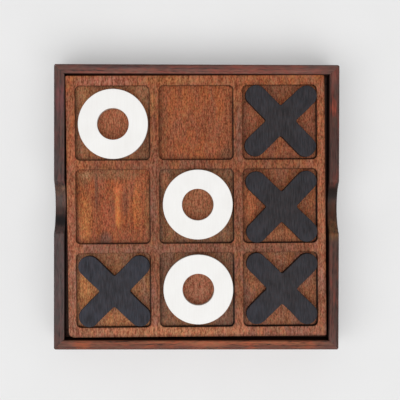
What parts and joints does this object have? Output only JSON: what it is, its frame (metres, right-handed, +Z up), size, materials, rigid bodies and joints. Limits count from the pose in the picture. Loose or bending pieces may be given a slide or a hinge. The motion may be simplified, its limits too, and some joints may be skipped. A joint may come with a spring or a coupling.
{
  "type": "tic tac toe set",
  "caption": "Square wooden tic tac toe set: a mitred box with finger notches, a lift-out board with nine square pockets, loose ring and cross pieces, and storage under the board.",
  "frame": {"origin": "on the table, under the middle of the box: the bottom centre of the bounding box", "axes": "+Z is up, through the thin direction of the box. +X points to the right of a player at the front, towards the wall_right notch, and +Y points away from that player"},
  "size_m": [0.24, 0.24, 0.0401],
  "materials": {
    "dark_stained_wood": "dark walnut stain, satin",
    "board_wood": "reddish brown oiled hardwood with vertical grain, satin",
    "panel_wood": "stained panel, matt",
    "black_painted_wood": "black paint with the grain showing faintly, matt",
    "white_painted_wood": "white paint, satin"
  },
  "bodies": {
    "box": {"bottom_panel": "panel_wood", "wall_front": "dark_stained_wood", "wall_right": "dark_stained_wood", "wall_back": "dark_stained_wood", "wall_left": "dark_stained_wood", "ledge_front": "dark_stained_wood", "ledge_right": "dark_stained_wood", "ledge_back": "dark_stained_wood", "ledge_left": "dark_stained_wood"},
    "board": {"board_panel": "board_wood", "board_grid": "board_wood"},
    "x_back_right": {"x_back_right": "black_painted_wood"},
    "x_middle_right": {"x_middle_right": "black_painted_wood"},
    "x_front_right": {"x_front_right": "black_painted_wood"},
    "x_front_left": {"x_front_left": "black_painted_wood"},
    "x_spare": {"x_spare": "black_painted_wood"},
    "o_back_left": {"o_back_left": "white_painted_wood"},
    "o_centre": {"o_centre": "white_painted_wood"},
    "o_front_middle": {"o_front_middle": "white_painted_wood"},
    "o_spare_left": {"o_spare_left": "white_painted_wood"},
    "o_spare_right": {"o_spare_right": "white_painted_wood"}
  },
  "joints": [
    {"name": "board_lift", "type": "slide", "parent": "box", "child": "board", "axis": [0, 0, 1], "range_m": [0, 0.08]},
    {"name": "x_back_right_lift", "type": "slide", "parent": "board", "child": "x_back_right", "axis": [0, 0, 1], "range_m": [0, 0.05]},
    {"name": "x_middle_right_lift", "type": "slide", "parent": "board", "child": "x_middle_right", "axis": [0, 0, 1], "range_m": [0, 0.05]},
    {"name": "x_front_right_lift", "type": "slide", "parent": "board", "child": "x_front_right", "axis": [0, 0, 1], "range_m": [0, 0.05]},
    {"name": "x_front_left_lift", "type": "slide", "parent": "board", "child": "x_front_left", "axis": [0, 0, 1], "range_m": [0, 0.05]},
    {"name": "o_back_left_lift", "type": "slide", "parent": "board", "child": "o_back_left", "axis": [0, 0, 1], "range_m": [0, 0.05]},
    {"name": "o_centre_lift", "type": "slide", "parent": "board", "child": "o_centre", "axis": [0, 0, 1], "range_m": [0, 0.05]},
    {"name": "o_front_middle_lift", "type": "slide", "parent": "board", "child": "o_front_middle", "axis": [0, 0, 1], "range_m": [0, 0.05]},
    {"name": "x_spare_lift", "type": "slide", "parent": "box", "child": "x_spare", "axis": [0, 0, 1], "range_m": [0, 0.006]},
    {"name": "o_spare_left_lift", "type": "slide", "parent": "box", "child": "o_spare_left", "axis": [0, 0, 1], "range_m": [0, 0.006]},
    {"name": "o_spare_right_lift", "type": "slide", "parent": "box", "child": "o_spare_right", "axis": [0, 0, 1], "range_m": [0, 0.006]}
  ]
}
